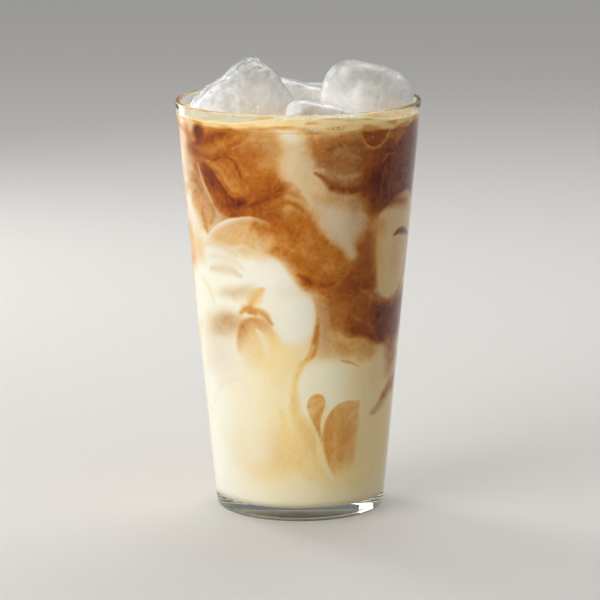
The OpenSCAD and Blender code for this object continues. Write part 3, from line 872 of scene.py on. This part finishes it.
def latteMaterial(name, gloss, rough):
    # whole milk and espresso over ice, poured and not stirred: soft edged, light goes a little way in
    material, tree = newMaterial(name)
    place = addNode(tree, "ShaderNodeTexCoord")
    coffee = addNode(tree, "ShaderNodeAttribute", {"attribute_name": "coffee"})
    clear = addNode(tree, "ShaderNodeAttribute", {"attribute_name": "clear"})
    wisps = addNode(tree, "ShaderNodeTexNoise", {"Scale": 1 / (3.2 * mm), "Detail": 3.0, "Distortion": 1.6},
                    {"Vector": (place, "Object")})
    share = addNode(tree, "ShaderNodeMapRange",
                    {"From Min": 0.3, "From Max": 0.7, "To Min": 0.9, "To Max": 1.1},
                    {"Value": (wisps, "Fac")})
    total = addNode(tree, "ShaderNodeMath", {"operation": "MULTIPLY"}, {0: (coffee, "Fac"), 1: (share, 0)})
    milky = milkyRamp(tree, (total, 0))
    golden = goldenRamp(tree, (total, 0))
    colour = addNode(tree, "ShaderNodeMix", {"data_type": "RGBA"},
                     {0: (clear, "Fac"), 6: (milky, "Color"), 7: (golden, "Color")})
    body = addNode(tree, "ShaderNodeBsdfPrincipled",
                   {"Roughness": rough, "IOR": 1.35, "Specular IOR Level": gloss, "Subsurface Weight": 0.25,
                    "Subsurface Radius": (1.0, 0.65, 0.4), "Subsurface Scale": 1.6 * mm},
                   {"Base Color": (colour, 2)})
    addNode(tree, "ShaderNodeOutputMaterial", links={"Surface": (body, 0)})
    return material


def makeSunkIce():
    # what shows of a sunk cube is its face at the glass, in the colour that the drink has there: the rounded
    # block, turned, plus 0.25 mm of noise outwards
    material = latteMaterial("iceInLatte", 0.12, 0.5)
    around, rows = sunkMesh["around"], sunkMesh["rows"]
    directions = sphereDirections(around, rows)
    for name, cube in sunkCubes.items():
        centre, half, matrix = sunkFrame(cube)

        def place(d):
            turned = roundedBlock(d, half, cube["square"]) @ matrix.T
            out = turned / np.linalg.norm(turned, axis=-1, keepdims=True)
            turned = turned + out * (0.25 * noise(turned, 8, cube["seed"]))[..., None]
            return keepInside(turned + centre, -sunkMesh["intoWall"])

        ends = place(poles)
        points = ringPoints(place(directions), ends[0, 0], ends[1, 0])
        az = np.degrees(np.arctan2(points[:, 0], -points[:, 1]))
        brew = pour(az, points[:, 2])
        values = {"coffee": brew.coffee, "clear": brew.clear}
        piece = newMesh(name, points, ringFaces(rows, around), material, values)
        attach(piece, "root")
    print("sunk ice", len(sunkCubes))


def latteProfile():
    # floor, rounded corner and wall of the cavity, reaching intoWall into the glass, up to the top layer
    d = drink
    floorZ = tumbler["baseThick"] - d["intoWall"]
    cornerWall = innerR(floorZ + tumbler["floorRound"]) + d["intoWall"]
    bend = cornerCentre(floorZ, tumbler["floorRound"], cornerWall, innerLean)
    lean = math.degrees(math.atan(innerLean))
    floor = line((0, floorZ), (bend[0], floorZ), d["floorRows"])
    corner = arc(bend, tumbler["floorRound"], -90, -lean, d["cornerRows"])
    low = np.linspace(corner[-1, 1], d["partZ"], d["lowRows"] + 1)[1:]
    high = np.linspace(d["partZ"], level - d["capThick"], d["highRows"])
    return np.concatenate([floor, corner]), low, high


def makeLatte():
    # the body is turned round the axis in two pieces, milk below and coffee above, which meet inside at a
    # level face; next to that face a ring lies close by, so that the wall's shading runs on
    d = drink
    u = np.arange(d["columns"]) * 360 / d["columns"]
    az = u - d["frontCrowding"] * np.sin(np.radians(u))
    base, low, high = latteProfile()
    close = 0.02
    low = np.append(low[:-1], [d["partZ"] - close, d["partZ"]])
    high = np.concatenate([[d["partZ"], d["partZ"] + close], high[1:-1], [high[-1] - close, high[-1]]])
    material = latteMaterial("wholeMilkLatte", 0.12, 0.5)
    parts = dict(
        latte_milk=(base, low, tumbler["baseThick"] - d["intoWall"], d["partZ"]),
        latte_coffee=(base[:0], high, d["partZ"], high[-1]),
    )
    for name, (start, wallZ, bottom, top) in parts.items():
        wall = np.stack([innerR(wallZ) + d["intoWall"], wallZ], -1)
        profile = np.concatenate([start, wall])
        z = np.broadcast_to(profile[:, 1:], (len(profile), len(az)))
        azGrid = np.broadcast_to(az, z.shape)
        brew = pour(azGrid, z)
        points = ringPoints(onWall(azGrid, profile[:, :1], z), (0, 0, bottom), (0, 0, top))
        ends = (0.4, 0.4)
        values = {"coffee": np.append(brew.coffee.ravel(), ends),
                  "clear": np.append(brew.clear.ravel(), ends)}
        piece = newMesh(name, points, ringFaces(len(profile), d["columns"]), material, values)
        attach(piece, "root")
        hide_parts("latte")
        print(name, len(points))


def iceShore(points):
    # distance in mm, roughly, from each point to the nearest standing cube
    near = np.full(points.shape[:-1], 1e9)
    for cube in iceCubes.values():
        centre, half, matrix = cubeFrame(cube)
        inside = insideBlock(points, centre, half, cube["square"], matrix)
        near = np.minimum(near, (inside - 1) * half.mean())
    return near


crema = dict(
    around=400, underRows=3, sideRows=12, climbRows=8, flatRows=46,
    climbHigh=0.75, climbWide=2.4,          # how far the edge is drawn up the wall, and from how far in
    shoreHigh=0.6, shoreWide=1.1,           # the same at the cubes
    heapHigh=2.6, heapAz=8, heapSpread=34,  # the foam heaped between the front cube and the wall
    heapInner=31, heapOuter=34.5,
)


def foamBank(points):
    # how high the heap stands: h exp(-((az - middle) / spread)^4), eased in between its two radii
    c = crema
    az = np.degrees(np.arctan2(points[..., 0], -points[..., 1]))
    r = np.hypot(points[..., 0], points[..., 1])
    along = np.exp(-((az - c["heapAz"]) / c["heapSpread"]) ** 4)
    return c["heapHigh"] * along * ease(c["heapInner"], c["heapOuter"], r)


def cremaProfile():
    # under, up the wall, along the edge that is drawn up by h t^2, and flat to the axis
    c = crema
    top = level - drink["capThick"]
    reach = drink["intoWall"]
    under = line((0, top), (innerR(top) + reach - 0.6, top), c["underRows"])
    wallZ = np.linspace(top + 0.02, level + c["climbHigh"], c["sideRows"])
    side = np.stack([innerR(wallZ) + reach, wallZ], -1)
    t = np.linspace(1, 0, c["climbRows"] + 1)[1:]
    inner = mouthR - c["climbWide"]
    climb = np.stack([inner + (c["climbWide"] + 0.05) * t, level + c["climbHigh"] * t * t], -1)
    flat = line((inner, level), (0, level), c["flatRows"])
    return np.concatenate([under, side]), np.concatenate([climb, flat])


def makeSurface():
    # the top layer: a closed disc, drawn up the cubes by h exp(-d / wide) and lifted by the heap of foam
    c = crema
    around = c["around"]
    az = np.arange(around) * 360 / around
    top = level - drink["capThick"]
    below, above = cremaProfile()
    profile = np.concatenate([below, above])
    rings = onWall(az[None, :], profile[:, :1], profile[:, 1:])
    isTop = np.arange(len(profile)) >= len(below)
    shore = iceShore(rings)
    ripples = c["shoreHigh"] * np.exp(-np.maximum(shore, 0) / c["shoreWide"]) + 0.05 * noise(rings, 3, 91)
    rings[..., 2] += np.where(isTop[:, None], ripples, 0)
    rise = foamBank(rings) * ease(top + 0.1, level + c["climbHigh"] - 0.2, rings[..., 2])
    rings[..., 2] += rise * (1 + 0.14 * noise(rings, 5, 96))
    far = np.maximum(np.hypot(rings[..., 0], rings[..., 1]), 1)
    rings[..., :2] *= (1 + innerLean * rise / far)[..., None]
    # golden brown in uneven patches, paler where foam gathers at the cubes
    ground = 0.22 + 0.20 * roughNoise(rings + 6 * noise(rings, 14, 92)[..., None], 12, 93)
    foam = ease(3.2, 0.4, shore + 1.4 * noise(rings, 3, 94))
    skin = pour(np.broadcast_to(az, (len(profile), around)), rings[..., 2])
    gold = np.clip(0.8 + 0.3 * noise(rings, 10, 95) - 0.5 * foam, 0, 1)
    coffee = np.where(isTop[:, None], ground * (1 - 0.55 * foam), skin.coffee)
    clear = np.where(isTop[:, None], gold, skin.clear)
    points = ringPoints(rings, (0, 0, top), (0, 0, level))
    values = {"coffee": np.append(coffee.ravel(), [0.45, 0.45]),
              "clear": np.append(clear.ravel(), [0.8, 0.8])}
    material = latteMaterial("latteCrema", 0.2, 0.35)
    piece = newMesh("latte_surface", points, ringFaces(len(profile), around), material, values)
    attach(piece, "root")
    print("surface", len(points))


def bubbleMaterial():
    # milk froth: thin wet films, pale gold
    material, tree = newMaterial("milkFroth")
    body = addNode(tree, "ShaderNodeBsdfPrincipled",
                   {"Base Color": linear("#FAEED6"), "Roughness": 0.15, "IOR": 1.33,
                    "Transmission Weight": 0.15, "Subsurface Weight": 0.3,
                    "Subsurface Scale": 0.4 * mm})
    clearToLamps(tree, body, 0.5)
    return material


def joinedBubbles(name, centres, radii, material):
    # one low sphere copied to every centre: point = centre + radius direction
    around, rows = 8, 4
    directions = sphereDirections(around, rows)
    ball = ringPoints(directions, (0, 0, -1), (0, 0, 1))
    faces = ringFaces(rows, around)
    points = (centres[:, None, :] + radii[:, None, None] * ball[None]).reshape(-1, 3)
    shift = np.arange(len(centres)) * len(ball)
    sets = [(f[None] + shift[:, None, None]).reshape(-1, f.shape[1]) for f in faces]
    piece = newMesh(name, points, sets, material)
    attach(piece, "root")


# azimuth, spread in degrees and count of the bubbles heaped along the wall, and of those that cling to it
# at the golden band. Sizes are the least radius in mm and what is added for the largest
froth = dict(
    seed=17,
    heaps=((8, 14, 150), (20, 8, 50), (-30, 30, 60), (60, 20, 50), (130, 30, 70), (200, 40, 90),
           (270, 30, 60)),
    heapSizes=(0.16, 0.42), heapReach=1.3,
    tries=9000,                             # places tried on the surface
    keptAtIce=0.22, keptElsewhere=0.015,    # share of them that gets a bubble
    floatSizes=(0.14, 0.4),
    cling=(10, 8, 110), clingSizes=(0.16, 0.22),
)


def bubbleSizes(draw, count, sizes, power):
    # radius = least + more u^power, with u even from 0 to 1, so that most are small
    least, more = sizes
    return least + more * draw.random(count) ** power


def makeBubbles():
    # froth along the wall and round the cubes: heaped at a few places, and afloat where a throw of the dice
    # is under a share that falls off as exp(-d/1.2) from the ice
    draw = np.random.default_rng(froth["seed"])
    material = bubbleMaterial()
    az = np.concatenate([draw.normal(a, spread, count) for a, spread, count in froth["heaps"]])
    radii = bubbleSizes(draw, len(az), froth["heapSizes"], 3)
    inward = np.abs(draw.normal(0, froth["heapReach"], len(az))) + radii * 0.5
    z = level + 0.7 * np.exp(-inward) + 0.25 * radii
    z = z + foamBank(onWall(az, innerR(z) - inward, z))
    ring = onWall(az, innerR(z) - inward, z)
    x, y = draw.uniform(-mouthR, mouthR, (2, froth["tries"]))
    floating = np.stack([x, y, np.full(froth["tries"], level)], -1)
    shore = iceShore(floating)
    often = froth["keptAtIce"] * np.exp(-shore / 1.2) + froth["keptElsewhere"]
    keep = (np.hypot(x, y) < mouthR - 1.5) & (shore > 0) & (draw.random(froth["tries"]) < often)
    floating = floating[keep]
    floatingR = bubbleSizes(draw, len(floating), froth["floatSizes"], 3)
    floating[:, 2] += 0.5 * np.exp(-shore[keep] / 1.1) + 0.2 * floatingR + foamBank(floating)
    clingAz, spread, count = froth["cling"]
    clingR = bubbleSizes(draw, count, froth["clingSizes"], 2)
    clingZ = level - 0.3 + 0.35 * draw.normal(0, 1, count)
    cling = onWall(draw.normal(clingAz, spread, count), innerR(clingZ) - 0.03, clingZ)
    centres = np.concatenate([ring, floating, cling])
    joinedBubbles("froth", centres, np.concatenate([radii, floatingR, clingR]), material)
    print("froth", len(centres))


# the camera's distance, eyeHeight, aimHeight and aimX are mm, as its lens is, and its roll is degrees
studio = dict(
    floorHalf=7000, paper="#DEDBD6", room="#E8ECF0", roomStrength=0.2,
    distance=1275, eyeHeight=324, aimHeight=75.9, aimX=0.3, lens=213.6, roll=0.31,
)


def makeFloor():
    # a floor of seamless paper, flat: matt, with a faint tooth
    material, tree = newMaterial("studioPaper")
    place = addNode(tree, "ShaderNodeTexCoord")
    tooth = addNode(tree, "ShaderNodeTexNoise", {"Scale": 1 / (4 * mm), "Detail": 2.0},
                    {"Vector": (place, "Object")})
    bump = addNode(tree, "ShaderNodeBump", {"Strength": 0.05, "Distance": 0.1 * mm},
                   {"Height": (tooth, "Fac")})
    body = addNode(tree, "ShaderNodeBsdfPrincipled",
                   {"Base Color": linear(studio["paper"]), "Roughness": 0.75, "Specular IOR Level": 0.2},
                   {"Normal": (bump, 0)})
    addNode(tree, "ShaderNodeOutputMaterial", links={"Surface": (body, 0)})
    h = studio["floorHalf"]
    points = np.array([(-h, -h, 0), (h, -h, 0), (h, h, 0), (-h, h, 0)], float)
    floor = newMesh("floor", points, [np.array([[0, 1, 2, 3]])], material)
    print("floor")


# area lamps: azimuth, distance from the axis, height, and the lamp's own width and height in mm, watts,
# and the height on the axis that it faces; one without an aim faces down
lamps = dict(
    keyLeft=dict(az=-50, distance=1000, height=520, wide=800, tall=900, watts=6.7, aim=80),
    fillRight=dict(az=38, distance=1150, height=380, wide=600, tall=700, watts=1.3, aim=80),
    edgeLeft=dict(az=-140, distance=750, height=300, wide=220, tall=900, watts=2.6, aim=80),
    backTop=dict(az=165, distance=620, height=760, wide=700, tall=350, watts=2.2, aim=150),
    ceiling=dict(az=180, distance=700, height=2200, wide=4000, tall=4000, watts=30),
)


def softbox(name, az, distance, height, wide, tall, watts, aim=None):
    # one of them, put in place and turned
    light = bpy.data.lights.new(name, "AREA")
    light.shape = "RECTANGLE"
    light.size = wide * mm
    light.size_y = tall * mm
    light.energy = watts
    lamp = bpy.data.objects.new(name, light)
    scene.collection.objects.link(lamp)
    place = onWall(np.array(az), distance, height)
    lamp.location = (place * mm).tolist()
    if aim is not None:
        facing = mathutils.Vector(np.array([0, 0, aim]) - place)
        lamp.rotation_euler = facing.to_track_quat("-Z", "Y").to_euler()


def makeLights():
    # the lamps, and a dim cool room round them
    for name, lamp in lamps.items():
        softbox(name, **lamp)
    world = bpy.data.worlds.new("room")
    world.use_nodes = True
    world.node_tree.nodes["Background"].inputs["Color"].default_value = linear(studio["room"])
    world.node_tree.nodes["Background"].inputs["Strength"].default_value = studio["roomStrength"]
    scene.world = world
    scene.view_settings.view_transform = "Standard"
    print("lamps", len(lamps))


def makeCamera():
    # stands in front at eyeHeight and looks at the axis at aimHeight, rolled a little
    data = bpy.data.cameras.new("camera")
    data.sensor_width = 36
    data.lens = studio["lens"]
    data.clip_end = 50
    camera = bpy.data.objects.new("camera", data)
    scene.collection.objects.link(camera)
    eye = mathutils.Vector((0, -studio["distance"], studio["eyeHeight"]))
    look = mathutils.Vector((studio["aimX"], 0, studio["aimHeight"])) - eye
    turn = look.to_track_quat("-Z", "Y") @ mathutils.Quaternion((0, 0, 1), math.radians(-studio["roll"]))
    camera.location = eye * mm
    camera.rotation_euler = turn.to_euler()
    scene.camera = camera
    print("camera")


makeGlass()
makeIce()
makeSunkIce()
makeLatte()
makeSurface()
makeBubbles()
makeFloor()
makeLights()
makeCamera()
